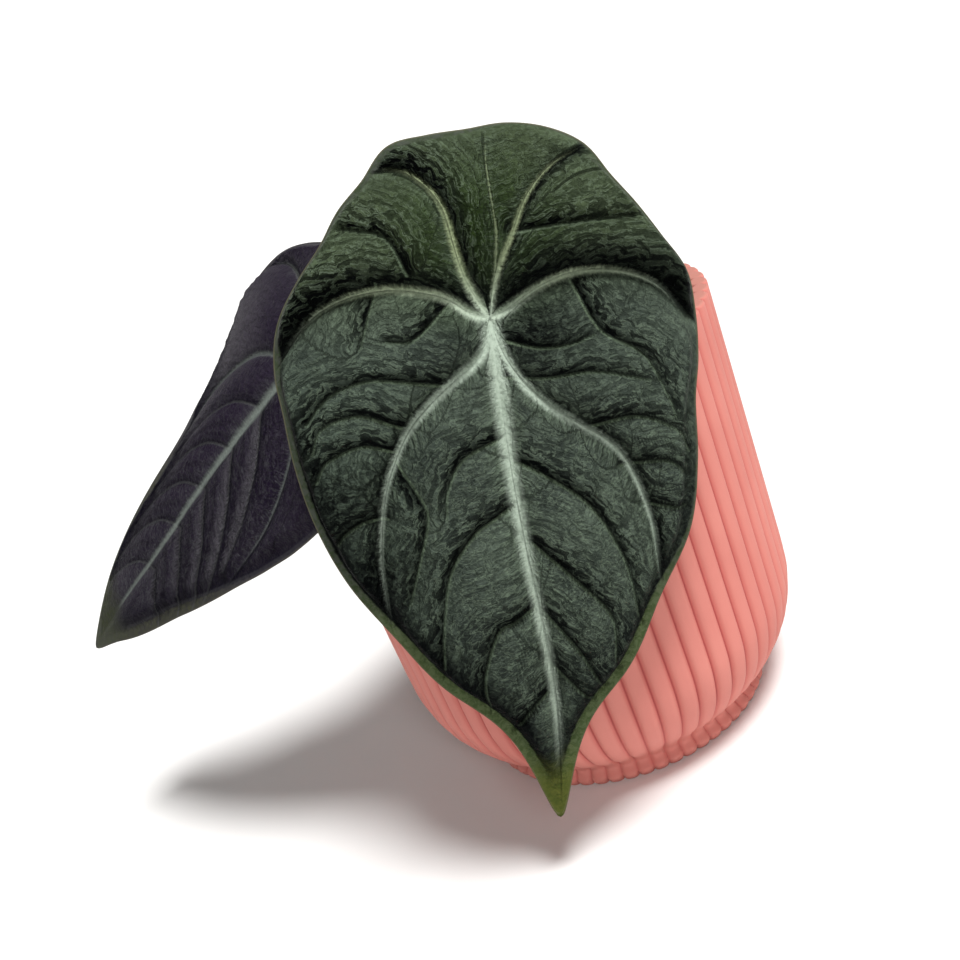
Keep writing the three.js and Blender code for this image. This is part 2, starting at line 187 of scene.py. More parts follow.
class Finish:
    """A material while its nodes are laid. Its tone is the colour of the coats laid so far."""

    def __init__(self, name):
        self.material = bpy.data.materials.new(name)
        self.material.use_nodes = True
        self.tree = self.material.node_tree
        self.shader = self.tree.nodes["Principled BSDF"]
        self.tone = None

    def node(self, kind, settings=(), inputs=(), output=0):
        """Adds a node: its settings first, a ramp's stops among them, then its sockets."""
        node = self.tree.nodes.new(kind)
        for key, value in dict(settings).items():
            if key == "stops":
                while len(node.color_ramp.elements) < len(value):
                    node.color_ramp.elements.new(1)
                for element, (place, colour) in zip(node.color_ramp.elements, value):
                    element.position = place
                    element.color = colour
            else:
                setattr(node, key, value)
        for key, value in dict(inputs).items():
            self.put(node.inputs[key], value)
        return Wire(self, node.outputs[output])

    def put(self, socket, value):
        """Links a wire to a socket, or sets the socket's own value."""
        if isinstance(value, Wire):
            self.tree.links.new(value.socket, socket)
        else:
            socket.default_value = value

    def reading(self, label, output="Fac"):
        """A value or a vector kept on the mesh."""
        return self.node("ShaderNodeAttribute", {"attribute_name": label}, output=output)

    def place(self):
        """The point on the piece, in metres."""
        return self.node("ShaderNodeTexCoord", output="Object")

    def noise(self, place, scale, detail=3, roughness=0.5, distortion=0):
        """Smooth noise from 0 to 1 at a place."""
        return self.node("ShaderNodeTexNoise", inputs={
            "Vector": place, "Scale": scale, "Detail": detail,
            "Roughness": roughness, "Distortion": distortion,
        })

    def step(self, value, low, high):
        """0 below low and 1 above high, with a smooth change between them."""
        return self.node("ShaderNodeMapRange", {"interpolation_type": "SMOOTHSTEP"}, {
            "Value": value, "From Min": low, "From Max": high,
        })

    def vector(self, across, along, up=0):
        """Three values as one vector."""
        return self.node("ShaderNodeCombineXYZ", inputs={"X": across, "Y": along, "Z": up})

    def blend(self, share, first, second):
        """One colour going over into another."""
        return self.node("ShaderNodeMix", {"data_type": "RGBA"}, {0: share, 6: first, 7: second}, 2)

    def coat(self, share, colour):
        """Lays a colour over the tone so far. A share of 1 covers it."""
        self.tone = self.blend(share, self.tone, colour)

    def bump(self, height, depth_mm, strength=1, under=None):
        """The surface's normal over a height from 0 to 1 that stands depth_mm tall."""
        inputs = {"Height": height, "Distance": depth_mm * MM, "Strength": strength}
        if under:
            inputs["Normal"] = under
        return self.node("ShaderNodeBump", inputs=inputs, output="Normal")

    def dress(self, piece, **sockets):
        """Sets the shader's sockets, named in lower case, and gives the piece this material."""
        named = {socket.name.lower(): socket for socket in self.shader.inputs}
        for key, value in sockets.items():
            self.put(named[key.replace("_", " ")], value)
        piece.data.materials.clear()
        piece.data.materials.append(self.material)


def paint(colour):
    """A colour of three numbers from 0 to 255, as seen on a screen, in linear light."""
    part = np.array(colour) / 255
    linear = np.where(part > 0.04045, ((part + 0.055) / 1.055) ** 2.4, part / 12.92)
    return (*linear.tolist(), 1)


def stand(piece, slot, *nodes):
    """The piece rides on the plant's one body and stands for its nodes."""
    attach(piece, "root")
    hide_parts(*nodes)


def arc(middle, radius, start, end, steps):
    """Points of a profile on a round edge, from one angle to another in degrees."""
    turn = np.radians(np.linspace(start, end, steps))
    return np.stack([middle[0] + radius * np.cos(turn), middle[1] + radius * np.sin(turn)], -1)


def line(start, end, steps):
    """Points of a profile along a straight stretch, without its last one."""
    return np.array(start) + np.linspace(0, 1, steps, endpoint=False)[:, None] * np.subtract(end, start)


def smooth(values, at, wraps=False):
    """A smooth curve through evenly spaced values, at places counted in their steps: a cubic
    between two values whose slope at each is half the way between its neighbours."""
    values = np.asarray(values, float)
    i = np.floor(at).astype(int)
    f = (at - i).reshape(at.shape + (1,) * (values.ndim - 1))
    if wraps:
        a, b, c, d = [values[(i + k) % len(values)] for k in (-1, 0, 1, 2)]
    else:
        a, b, c, d = [values[np.clip(i + k, 0, len(values) - 1)] for k in (-1, 0, 1, 2)]
    return b + 0.5 * f * (c - a + f * (2 * a - 5 * b + 4 * c - d + f * (3 * (b - c) + d - a)))


def pot_wall():
    """The pot's profile of radius and height, from the foot over the lip to the floor, and the way
    the grooves cut it at each point: -1 inwards on the outside, 1 outwards on the inside."""
    outside = np.concatenate([
        line((HUB, 0), (FOOT_RADIUS - FOOT_ROUND, 0), 4),
        arc((FOOT_RADIUS - FOOT_ROUND, FOOT_ROUND), FOOT_ROUND, -90, -15, 5),
        smooth(LOWER_WALL, np.linspace(0, len(LOWER_WALL) - 1, 50)),
        line((BELLY_RADIUS + 0.02, BELLY_HEIGHT + 2), (RIM_RADIUS, POT_HEIGHT - LIP_ROUND), 12),
        arc((RIM_RADIUS - LIP_ROUND, POT_HEIGHT - LIP_ROUND), LIP_ROUND, 0, 90, 8),
    ])
    mouth = RIM_RADIUS - WALL
    inside = np.concatenate([
        arc((mouth + LIP_ROUND, POT_HEIGHT - LIP_ROUND), LIP_ROUND, 90, 180, 8),
        line((mouth - 0.02, POT_HEIGHT - LIP_ROUND - 1), (BELLY_RADIUS - WALL, BELLY_HEIGHT), 10),
        line((BELLY_RADIUS - WALL, BELLY_HEIGHT), (FLOOR_CORNER_RADIUS, FLOOR_THICKNESS + WALL), 5),
        line((FLOOR_CORNER_RADIUS, FLOOR_THICKNESS + WALL), (FLOOR_RADIUS, FLOOR_THICKNESS), 4),
        line((FLOOR_RADIUS, FLOOR_THICKNESS), (HUB, FLOOR_THICKNESS), 4),
    ])
    way = np.concatenate([-outside[:, 0] / RIM_RADIUS, np.ones(len(inside))])
    way[:4] = 0
    way[-4:] = 0
    return np.concatenate([outside, inside]), way


def pot_skin():
    """Each point of the wall turned round the axis. The ribs are round: a groove's depth grows with
    the cube of the distance from the rib's crest."""
    wall, way = pot_wall()
    columns = RIBS * COLUMNS_PER_RIB
    turn = np.arange(columns) / columns * 2 * np.pi
    place = turn * RIBS / (2 * np.pi)
    groove = np.abs(2 * (place - np.floor(place)) - 1) ** 3
    radius = wall[:, :1] + GROOVE_DEPTH * way[:, None] * groove
    height = np.broadcast_to(wall[:, 1:], radius.shape)
    rings = np.stack([radius * np.cos(turn), radius * np.sin(turn), height], -1)
    depth = np.abs(way)[:, None] * groove
    return loft("ribbed_pot", rings, (0, 0, 0), (0, 0, FLOOR_THICKNESS), [("groove", depth, [0], [0])])


pot = pot_skin()
coral = Finish("matte coral plastic")
groove = coral.reading("groove")
cloudy = coral.noise(coral.place(), 45, 4)
grain = coral.noise(coral.place(), 2600, 2)
height = coral.node("ShaderNodeSeparateXYZ", inputs={"Vector": coral.place()}, output="Z")
# Painted highlight on the rib crests, going over into the body's coral, then painted shade deep in the
# grooves.
coral.tone = coral.blend(coral.step(groove, 0.15, 0.95), paint(CORAL_CREST_HIGHLIGHT), paint(CORAL))
coral.coat(coral.step(groove, 0.6, 1.0) * 0.8, paint(CORAL_GROOVE_SHADE_AND_CLOUD))
coral.coat((cloudy - 0.35) * 0.35, paint(CORAL_GROOVE_SHADE_AND_CLOUD))
# Painted shade on the lip's top, which faces the overhead light.
coral.coat(coral.step(height, (POT_HEIGHT - LIP_SHADE_BAND) * MM, POT_HEIGHT * MM), paint(CORAL_LIP_SHADE))
coral.dress(
    pot,
    base_color=coral.tone,
    roughness=0.62 + 0.12 * cloudy,
    specular_ior_level=0.35,
    normal=coral.bump(grain, 0.05),
)
stand(pot, "pot", "pot")


# The soil is a moist mix of peat and fine bark that fills the pot to its level, a little domed.
# Its top is an uneven crust, and bark chips and white perlite lie in it.
SOIL_LEVEL = 90
SOIL_DOME = 1.5
SOIL_ROUGHNESS = 0.8
SOIL_RADIUS = 48.9
SOIL_GAP = 0.3
SOIL_COLUMNS = 260
SOIL_RINGS = 74
PEAT = (52, 36, 27)
BARK = (104, 70, 46)
PERLITE = (214, 208, 196)
CHIPS = 420
CHIP_SIZE = 2.6
CHIP_SIDES = 6
CHIP_ROWS = 4
WAVES = 24


def crumbs(x, y, size, seed):
    """Unevenness between about -1 and 1: a sum of waves in random directions, with wavelengths
    from size to a third of it."""
    draw = np.random.default_rng(seed)
    total = np.zeros_like(x)
    for _ in range(WAVES):
        turn, phase = draw.uniform(0, 2 * np.pi, 2)
        pace = 2 * np.pi / size * draw.uniform(1, 3)
        total += np.sin(pace * (x * np.cos(turn) + y * np.sin(turn)) + phase)
    return total / WAVES ** 0.5 / 1.4


def soil_top(x, y):
    """The height of the crust: a low dome, slow swells and crumbs."""
    part = np.hypot(x, y) / SOIL_RADIUS
    swell = np.sin(0.31 * x + 1.3 * np.sin(0.23 * y)) * np.cos(0.37 * y + np.sin(0.29 * x))
    crumb = crumbs(x, y, 6, 5) * 0.35 + np.abs(crumbs(x, y, 2.6, 6)) * 0.3
    return SOIL_LEVEL + SOIL_DOME * (1 - part ** 2) + SOIL_ROUGHNESS * swell + crumb - SOIL_GAP


def soil_skin():
    """Rings from the pot's floor up its wall, and over the crust to the middle."""
    turn = np.arange(SOIL_COLUMNS) / SOIL_COLUMNS * 2 * np.pi
    low = np.array([
        (FLOOR_RADIUS - SOIL_GAP, FLOOR_THICKNESS + SOIL_GAP),
        (FLOOR_CORNER_RADIUS - SOIL_GAP, FLOOR_THICKNESS + WALL + SOIL_GAP),
        (BELLY_RADIUS - WALL - SOIL_GAP, BELLY_HEIGHT),
        (SOIL_RADIUS, SOIL_LEVEL - 4),
    ])
    radius = np.concatenate([low[:, 0], SOIL_RADIUS * np.linspace(1, 0.01, SOIL_RINGS)])[:, None]
    x = radius * np.cos(turn)
    y = radius * np.sin(turn)
    z = soil_top(x, y)
    z[: len(low)] = low[:, 1:]
    bottom = FLOOR_THICKNESS + SOIL_GAP
    middle = soil_top(np.zeros(1), np.zeros(1))[0]
    return loft("potting_soil", np.stack([x, y, z], -1), (0, 0, bottom), (0, 0, middle))


def chip_ball():
    """The points and faces of one ball of a few facets, which each chip is pulled from."""
    rise = np.linspace(0, np.pi, CHIP_ROWS + 2)[1:-1, None]
    turn = np.arange(CHIP_SIDES)[None, :] * 2 * np.pi / CHIP_SIDES
    ball = np.stack([np.sin(rise) * np.cos(turn), np.sin(rise) * np.sin(turn), np.cos(rise) + 0 * turn], -1)
    ball = np.concatenate([ball.reshape(-1, 3), [[0, 0, 1], [0, 0, -1]]])
    rows = np.arange(CHIP_ROWS - 1)[:, None] * CHIP_SIDES
    here = np.arange(CHIP_SIDES)[None, :]
    beside = (here + 1) % CHIP_SIDES
    below = rows + CHIP_SIDES
    quads = np.stack([rows + here, below + here, below + beside, rows + beside], -1).reshape(-1, 4)
    here, beside = here[0], beside[0]
    last = (CHIP_ROWS - 1) * CHIP_SIDES
    poles = CHIP_ROWS * CHIP_SIDES + np.arange(2)
    caps = np.concatenate([
        np.stack([np.full(CHIP_SIDES, poles[0]), here, beside], -1),
        np.stack([np.full(CHIP_SIDES, poles[1]), last + beside, last + here], -1),
    ])
    return ball, quads, caps


def chip_mesh(name, count, size, seed, flatness):
    """Chips as one mesh: each is a ball pulled to a random block of about size, turned at random
    and sunk by half into the crust."""
    ball, quads, caps = chip_ball()
    draw = np.random.default_rng(seed)
    reach = (SOIL_RADIUS - size) * draw.uniform(0.04, 1, count) ** 0.5
    turn = draw.uniform(0, 2 * np.pi, count)
    place = np.stack([reach * np.cos(turn), reach * np.sin(turn)], -1)
    scale = size / 2 * draw.uniform(0.45, 1, (count, 3)) * (1, 0.8, flatness)
    bent = ball[None] * scale[:, None] * draw.uniform(0.8, 1.15, (count, len(ball), 1))
    spin = np.linalg.qr(draw.normal(size=(count, 3, 3)) * (0.5, 0.5, 1) + np.eye(3) * (1, 1, 2))[0]
    spin *= np.sign(np.linalg.det(spin))[:, None, None]
    points = np.einsum("nij,nkj->nki", spin, bent)
    points[..., :2] += place[:, None]
    points[..., 2] += soil_top(place[:, 0], place[:, 1])[:, None] + 0.1 * size
    shift = (np.arange(count) * len(ball))[:, None, None]
    faces = (quads[None] + shift).reshape(-1, 4).tolist() + (caps[None] + shift).reshape(-1, 3).tolist()
    mesh = bpy.data.meshes.new(name)
    mesh.from_pydata((points.reshape(-1, 3) * MM).tolist(), [], faces)
    return set_down(name, mesh)


soil = soil_skin()
earth = Finish("moist peat and bark")
lumps = earth.noise(earth.place(), 420, 5, 0.6)
specks = earth.noise(earth.place(), 1500, 3, 0.6)
earth.tone = earth.blend(earth.step(lumps, 0.4, 0.62), paint(PEAT), paint(BARK))
earth.coat(earth.step(specks, 0.35, 0.6) * 0.7, paint(PEAT))
earth.dress(
    soil,
    base_color=earth.tone,
    roughness=0.75 + 0.2 * specks,
    normal=earth.bump(specks + lumps, 0.7),
)
stand(soil, "soil", "soil")

bark_chips = chip_mesh("bark_chips", CHIPS, CHIP_SIZE * 1.5, 11, 0.5)
bark = Finish("bark chip")
fibre = bark.noise(bark.place(), 900, 4, 0.6)
bark.dress(
    bark_chips,
    base_color=bark.blend(bark.step(fibre, 0.3, 0.7), paint(PEAT), paint(BARK)),
    roughness=0.8,
    normal=bark.bump(fibre, 0.4),
)
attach(bark_chips, "root")

perlite = chip_mesh("perlite", CHIPS // 5, CHIP_SIZE, 12, 0.9)
white = Finish("perlite")
pores = white.noise(white.place(), 1800, 3, 0.6)
white.dress(
    perlite,
    base_color=white.blend(white.step(pores, 0.35, 0.65), paint(BARK), paint(PERLITE)),
    roughness=0.9,
    normal=white.bump(pores, 0.4),
)
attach(perlite, "root")


# The crown is the plant's short stem base. Old leaf sheaths wrap it in dry, fibrous layers, and
# the two stalks stand in it.
CROWN_RADIUS = 8
CROWN_ROOT = 74
CROWN_TOP = 101
CROWN_COLUMNS = 96
CROWN_RINGS = 70
CROWN_PROFILE = [(0.45, 0), (0.8, 0.12), (0.95, 0.4), (1, 0.68), (0.9, 0.84), (0.6, 0.96), (0.3, 1)]
SHEATH_GREEN = (122, 128, 84)
SHEATH_BROWN = (104, 78, 52)


def crown_skin():
    """A stout cone with three soft lobes and fine upright fibres, stepped where sheaths overlap."""
    profile = smooth(CROWN_PROFILE, np.linspace(0, len(CROWN_PROFILE) - 1, CROWN_RINGS))
    turn = np.arange(CROWN_COLUMNS) / CROWN_COLUMNS * 2 * np.pi
    rise = profile[:, 1:]
    lobes = 1 + 0.05 * np.cos(3 * turn + 1)
    wrap = (turn / (2 * np.pi) + 5 * rise) % 1
    layers = 0.35 * wrap ** 2
    fibres = 0.12 * np.sin(31 * turn + 4 * rise) * np.sin(17 * turn + 1)
    radius = (CROWN_RADIUS - 0.4) * profile[:, :1] * lobes + (layers + fibres) * np.sin(np.pi * rise)
    height = CROWN_ROOT + (CROWN_TOP - CROWN_ROOT) * rise + 0 * turn
    rings = np.stack([radius * np.cos(turn), radius * np.sin(turn), height], -1)
    return loft("crown_sheaths", rings, (0, 0, CROWN_ROOT), (0, 0, CROWN_TOP - 0.05))


crown = crown_skin()
husk = Finish("dry sheath")
squeeze = husk.node("ShaderNodeMapping", inputs={"Vector": husk.place(), "Scale": (1, 1, 0.12)})
strands = husk.noise(squeeze, 1500, 4, 0.6)
husk.dress(
    crown,
    base_color=husk.blend(husk.step(strands, 0.35, 0.65), paint(SHEATH_BROWN), paint(SHEATH_GREEN)),
    roughness=0.65,
    normal=husk.bump(strands, 0.3),
)
stand(crown, "crown", "crown")


# The stalks are smooth fleshy stems, round where they carry a blade and broader in the sheath at
# the foot. Each runs in one curve from the crown to the back of its blade, where it has grown on.
STALK_FOOT_RADIUS = 3.6
STALK_TOP_RADIUS = 2
SHEATH_SPREAD = 0.3
STALK_RINGS = 180
STALK_COLUMNS = 40
ROUTE_BEND = 2
JOIN_FLARE = 0.5
JOIN_LENGTH = 0.06
FRONT_ROUTE = [
    (0, -3.5, 96), (-0.5, -6, 106), (-1, -14, 119), (0, -29, 128), (1.2, -42, 130), (1.6, -48.6, 129.2),
]
SIDE_ROUTE = [
    (-3, 4, 96), (-7, 4.5, 104), (-16, 1, 114), (-27, -7, 120.5), (-34.5, -14.5, 124),
    (-38, -19.3, 124.8),
]
STALK_GREEN = (128, 134, 92)
STALK_PURPLE = (92, 70, 66)
STALK_PALE = (150, 158, 120)


def stalk_skin(name, route):
    """A tube round a smooth route. Its radius falls from the foot to the top, its breadth across
    the bend grows towards the foot, and it flares a little where it joins the blade. The bend lies
    in the plane of the route's two ends and its point ROUTE_BEND."""
    middle = smooth(route, np.linspace(0, len(route) - 1, STALK_RINGS))
    step = np.linalg.norm(np.diff(middle, axis=0), axis=1)
    along = np.concatenate([[0], np.cumsum(step)])[:, None]
    along = along / along[-1]
    ahead = np.gradient(middle, axis=0)
    ahead /= np.linalg.norm(ahead, axis=1)[:, None]
    lower = np.subtract(route[ROUTE_BEND], route[0])
    upper = np.subtract(route[-1], route[ROUTE_BEND])
    side = np.cross(ahead, np.cross(lower, upper))
    side /= np.linalg.norm(side, axis=1)[:, None]
    other = np.cross(ahead, side)
    turn = np.arange(STALK_COLUMNS) / STALK_COLUMNS * 2 * np.pi
    radius = STALK_TOP_RADIUS + (STALK_FOOT_RADIUS - STALK_TOP_RADIUS) * (1 - along) ** 1.5
    radius = radius + JOIN_FLARE * np.exp(-(1 - along) / JOIN_LENGTH)
    breadth = radius * (1 + SHEATH_SPREAD * (1 - along) ** 3)
    rings = (
        middle[:, None]
        + (radius * np.cos(turn))[..., None] * side[:, None]
        + (breadth * np.sin(turn))[..., None] * other[:, None]
    )
    way = np.broadcast_to(along, radius.shape[:1] + turn.shape)
    return loft(name, rings, middle[0], middle[-1], [("way", way, [0], [1])])


for name, route in [("front_stalk", FRONT_ROUTE), ("side_stalk", SIDE_ROUTE)]:
    stalk = stalk_skin(name + "_stem", route)
    flesh = Finish(name + " flesh")
    way = flesh.reading("way")
    stretched = flesh.noise(flesh.place(), 260, 4, 0.6)
    flecks = flesh.step(flesh.noise(flesh.place(), 900, 2), 0.52, 0.64)
    flesh.tone = flesh.blend(flesh.step(way, 0.0, 0.45), paint(STALK_PURPLE), paint(STALK_GREEN))
    flesh.coat(flesh.step(way, 0.75, 1.0) * 0.7, paint(STALK_PALE))
    flesh.coat(flecks * (1 - way) * 0.6, paint(STALK_PURPLE))
    flesh.dress(
        stalk,
        base_color=flesh.tone,
        roughness=0.42 + 0.15 * stretched,
        subsurface_weight=0.1,
        subsurface_scale=0.002,
        normal=flesh.bump(stretched, 0.15),
    )
    stand(stalk, "stalk", name)


# The front leaf hangs before the pot and shows its upper face: a thick, quilted, leathery shield.
# Its panels swell between sunken veins, it is fixed to the stalk at one point, and its two lobes
# have grown together behind that point.
BLADE_THICKNESS = 0.9
MARGIN_THICKNESS = 0.4
OUTLINE_STEP = 12
TOP_RINGS = 150
UNDER_RINGS = 40
MARGIN_POINTS = 361
COLUMN_SHARE = 5
VEIN_STEPS = 40

# A leaf's numbers. Its flat sheet is hung at the stalk's point, the junction, with its tip and its
# face that way, and bent to two radii. The outline is the radius about that point, every
# OUTLINE_STEP degrees from the tip's direction round by the x side. A main vein is its angle at
# even steps from the point to the margin, and has a width and a tone. In each sector between two
# main veins, columns are those of the mesh, swells the height of the pillow and its reach from
# either vein, and shades the breadth of the painted shade in the folds beside either vein. A side
# vein is a few points, x across and y to the tip, and quilt is how high the skin swells between
# side veins. A gloom is a dark cloud, x, y, size and depth: painted shade about the stalk's point
# and in the folds of the x side's margin, and a darker tone low on the blade.
FRONT = {
    "junction": (1.6, -54, 128.8),
    "towards_tip": (-0.234, -0.26, -0.937),
    "face": (-0.006, -0.963, 0.269),
    "bend_across": 170,
    "bend_along": 320,
    "outline": [88, 82.2, 71.5, 64.6, 58, 52, 47.5, 45.7, 43.8, 40.8, 38.5, 38.4, 38.2, 40.4, 39.1, 38.6,
                39.8, 40.4, 40.1, 37.9, 37.9, 39.1, 41.7, 42.2, 43.2, 45.5, 52.4, 61.8, 70, 83.2],
    "tip_length": 27.4,
    "tip_spread": 2.7,
    "tip_round": 1,
    "tip_angle": -0.5,
    "main_veins": [
        [0, 0, -1, -2, -2, -0.5],
        [6, 35, 43.5, 40.5, 33, 25],
        [100, 120, 117, 110, 100, 84],
        [150, 154, 161, 164, 158.5, 148],
        [190, 193, 192, 188, 186, 186],
        [191, 196, 202, 204, 209, 216],
        [255, 246, 247, 254, 265, 280],
        [352, 340, 329, 323.5, 328, 335],
    ],
    "columns": [16, 14, 9, 6, 4, 9, 14, 16],
    "side_veins": [
        [(11, 12), (19, 10), (25, 9), (31, 10), (35, 12), (39, 16)],
        [(21, 19), (27, 16), (32, 16), (37, 18), (39, 22)],
        [(23, 24), (28, 22), (33, 23), (37, 25), (39, 28)],
        [(27, 38), (31, 38), (35, 40), (37, 42)],
        [(23, 27), (19, 34), (18, 39), (21, 48), (24, 56)],
        [(1, 24), (9, 27), (13, 33), (14, 38)],
        [(0, 38), (4, 40), (9, 43), (15, 51), (18, 63), (19, 71)],
        [(-1, 61), (3, 63), (7, 65), (11, 75), (11, 82)],
        [(-2, 81), (2, 84), (5, 87)],
        [(-1, 29), (-6, 32), (-15, 40), (-21, 53), (-23, 66)],
        [(-3, 47), (-10, 55), (-17, 65), (-17, 75)],
        [(-3, 62), (-9, 71), (-13, 80)],
        [(-3, 74), (-9, 82), (-11, 84)],
        [(-2, 12), (-9, 13), (-19, 13), (-29, 16)],
        [(-17, -5), (-21, 5), (-29, 11), (-33, 20), (-34, 24)],
        [(-17, 24), (-26, 23), (-34, 27), (-37, 32)],
        [(-23, 33), (-31, 33), (-35, 36)],
        [(-27, 42), (-35, 44)],
        [(-7, -16), (-18, -16), (-30, -16)],
        [(15, -11), (18, -18), (26, -21)],
        [(8, -4), (15, 2), (20, 2)],
        [(22, -9), (26, 2)],
        [(-3, 5), (-9, 7), (-15, 7), (-19, 6)],
    ],
    "quilt": 3,
    "swells": [(2.6, 6, 6), (3.6, 3, 9), (5.2, 2.6, 8), (1.8, 6, 5),
               (1.4, 5, 8), (5.4, 5, 2.4), (3.6, 9, 3), (2.6, 6, 6)],
    "shades": [(0, 0), (1.6, 0), (4, 0), (3, 0), (0, 0), (1.6, 5), (0, 1.8), (0, 0.8)],
    "glooms": [(-9, 4, 8, 0.9), (-14, 13, 7, 0.4), (7, 6, 5, 0.25), (-5, -5, 4, 0.8), (4, -5, 3, 0.6),
               (-12, -7, 6, 0.75), (1, -4, 3, 0.6), (36, 34, 13, 0.9), (30, 50, 12, 0.95),
               (16, 74, 10, 0.5), (-6, 78, 9, 0.4)],
    "vein_widths": [4.2, 2.8, 2.7, 2.6, 1, 2, 2.5, 2.8],
    "vein_tones": [1, 0.88, 1, 1, 0.35, 0.75, 1, 1],
}

# The leaf's relief: how high each form stands or sinks, and how wide it is.
QUILT_REACH = 2.4
QUILT_LEAN = 0.8
SIDE_SHADE = 3.6
VEIN_BED = 0.8
VEIN_TAPER = 0.6
VEIN_FADE = 0.65
TINY = 0.01
RIM_WIDTH = 2
HEM_WIDTH = 3.5
DIMPLE_DEPTH = 4
DIMPLE_PLACE = -5
DIMPLE_REACH = 6.5
LOBE_DROOP = 4
DROOP_START = 0.55
WAVE_HEIGHT = 1.1
WAVE_COUNT = 5
WAVE_PHASE = 0.8
PUCKER_HEIGHT = 0.16
PUCKER_SIZE = 4.5
KEEL_HEIGHT = 1.1
KEEL_REACH = 1.1


def ease(value, low, high):
    """0 below low and 1 above high, with a smooth change between them."""
    part = np.clip((value - low) / (high - low), 0, 1)
    return part * part * (3 - 2 * part)


def margin_at(leaf, angle):
    """The blade's radius at an angle in degrees: its outline, drawn out in a short blunt tip."""
    from_tip = (angle - leaf["tip_angle"] + 540) % 360 - 180
    bluntly = np.hypot(from_tip, leaf["tip_round"]) - leaf["tip_round"]
    plain = smooth(leaf["outline"], np.asarray(angle / OUTLINE_STEP), wraps=True)
    return plain + leaf["tip_length"] * np.exp(-bluntly / leaf["tip_spread"])


def flat_point(leaf, share, angle):
    """A flat point of the blade at a share of the way from the stalk to the margin."""
    radius = share * margin_at(leaf, angle)
    return radius * np.sin(np.radians(angle)), radius * np.cos(np.radians(angle))


def to_path(x, y, path):
    """The distance from points to a path of straight stretches, negative on its right side, and how
    far along the path its nearest place lies."""
    near = np.full(x.shape, np.inf)
    signed = np.zeros(x.shape)
    along = np.zeros(x.shape)
    passed = 0
    for (ax, ay), (bx, by) in zip(path[:-1], path[1:]):
        dx, dy = bx - ax, by - ay
        length = np.hypot(dx, dy)
        part = np.clip(((x - ax) * dx + (y - ay) * dy) / length ** 2, 0, 1)
        gap = np.hypot(x - ax - part * dx, y - ay - part * dy)
        side = (dx * (y - ay) - dy * (x - ax)) / length
        closer = gap < near
        near = np.where(closer, gap, near)
        signed = np.where(closer, side, signed)
        along = np.where(closer, passed + part * length, along)
        passed += length
    return near, signed, along


# What the mesh tells the finish at every point. Distances, and the ways along the veins, are in
# millimetres. Veins start VEINS_APART from each other, the side veins from SIDE_VEIN_START on, so
# that none repeats another's pattern.
LEAF_READINGS = [
    "main",  # the distance to the nearest main vein
    "main_lead",  # how much farther the next one is
    "half",  # half of that vein's width
    "pale",  # how pale it is
    "along",  # the way along it
    "fold",  # painted shade in the folds beside a main vein, from 0 to 1
    "crease",  # how strongly the skin is creased, from 0 to 1
    "crease_off",  # the distance to the vein that creases it
    "crease_along",  # the way along that vein
    "gloom",  # how dark a cloud lies over it: painted shade for the most part
    "side_near",  # the distance to the nearest side vein
    "side_lead",  # how much farther the next one is
    "side_above",  # the distance above that side vein, negative below it
    "side_along",  # the way along it
    "side_fade",  # 1 at its start and 0 at its end
    "inward",  # the distance to the margin
    "upper",  # 1 on the upper face and 0 underneath
]
VEINS_APART = 200
SIDE_VEIN_START = 10
FAR = 9


def blade_grid(leaf):
    """The skin's points, laid flat: rings from the stalk's point out over the upper face, round the
    margin and back under the blade, with columns that follow the main veins. Each point has its
    angle, its share of the way out and its distance inward from the margin, and each column the
    sector between two main veins that it lies in."""
    steps = [np.linspace(0, len(vein) - 1, VEIN_STEPS + 1) for vein in leaf["main_veins"]]
    spokes = [smooth(vein, at) for vein, at in zip(leaf["main_veins"], steps)]
    shares = np.concatenate([
        (np.arange(TOP_RINGS) + 1) / TOP_RINGS,
        np.linspace(1, 0, UNDER_RINGS, endpoint=False),
    ])
    counts = np.array(leaf["columns"]) * COLUMN_SHARE
    columns = []
    for count, first, second in zip(counts, spokes, spokes[1:] + [spokes[0] + 360]):
        start = smooth(first, shares * VEIN_STEPS)[:, None]
        end = smooth(second, shares * VEIN_STEPS)[:, None]
        part = np.arange(count) / count
        columns.append(start * (1 - part) + end * part)
    angle = np.concatenate(columns, axis=1)
    share = shares[:, None] + 0 * angle
    x, y = flat_point(leaf, share, angle)
    margin = np.stack(flat_point(leaf, 1, np.linspace(0, 360, MARGIN_POINTS)), -1)
    return SimpleNamespace(
        x=x, y=y, angle=angle, share=share, spokes=spokes,
        sector=np.repeat(np.arange(len(counts)), counts),
        inward=to_path(x, y, margin)[0],
        under=(np.arange(len(shares)) >= TOP_RINGS)[:, None],
    )


def take_nearest(marks, distance, lead, near, **others):
    """Where this vein is the nearest so far, the marks take its distance and its other readings.
    The lead becomes the distance to the second nearest vein."""
    closer = near < marks[distance]
    marks[lead] = np.where(closer, marks[distance], np.minimum(marks[lead], near))
    marks[distance] = np.where(closer, near, marks[distance])
    for label, values in others.items():
        marks[label] = np.where(closer, values, marks[label])


def take_strongest(marks, weight, near, along):
    """Where this crease is the strongest so far, the marks take its weight and its place."""
    stronger = weight > marks["crease"]
    marks["crease_off"] = np.where(stronger, near, marks["crease_off"])
    marks["crease_along"] = np.where(stronger, along, marks["crease_along"])
    marks["crease"] = np.maximum(marks["crease"], weight)


